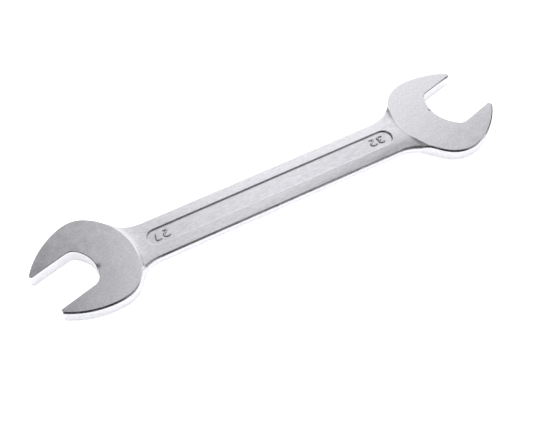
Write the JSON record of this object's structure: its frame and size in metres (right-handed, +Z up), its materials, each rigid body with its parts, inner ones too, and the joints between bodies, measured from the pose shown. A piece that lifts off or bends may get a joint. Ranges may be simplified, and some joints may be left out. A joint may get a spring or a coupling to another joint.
{
  "type": "open end wrench",
  "caption": "Forged double open end wrench with 27 mm and 32 mm mouths angled 15 degrees to a flat shank that has a sunk panel on each face.",
  "frame": {"origin": "under the middle of the wrench's bounding box, on the surface that it lies on", "axes": "+X along the shank from the 27 mm head to the 32 mm head, +Y across it towards the side that the 32 mm mouth leans to, +Z up through its thickness"},
  "size_m": [0.2946, 0.0652, 0.0084],
  "materials": {
    "satin_chrome": "satin"
  },
  "bodies": {
    "root": {"wrench_forging": "satin_chrome"}
  },
  "joints": []
}
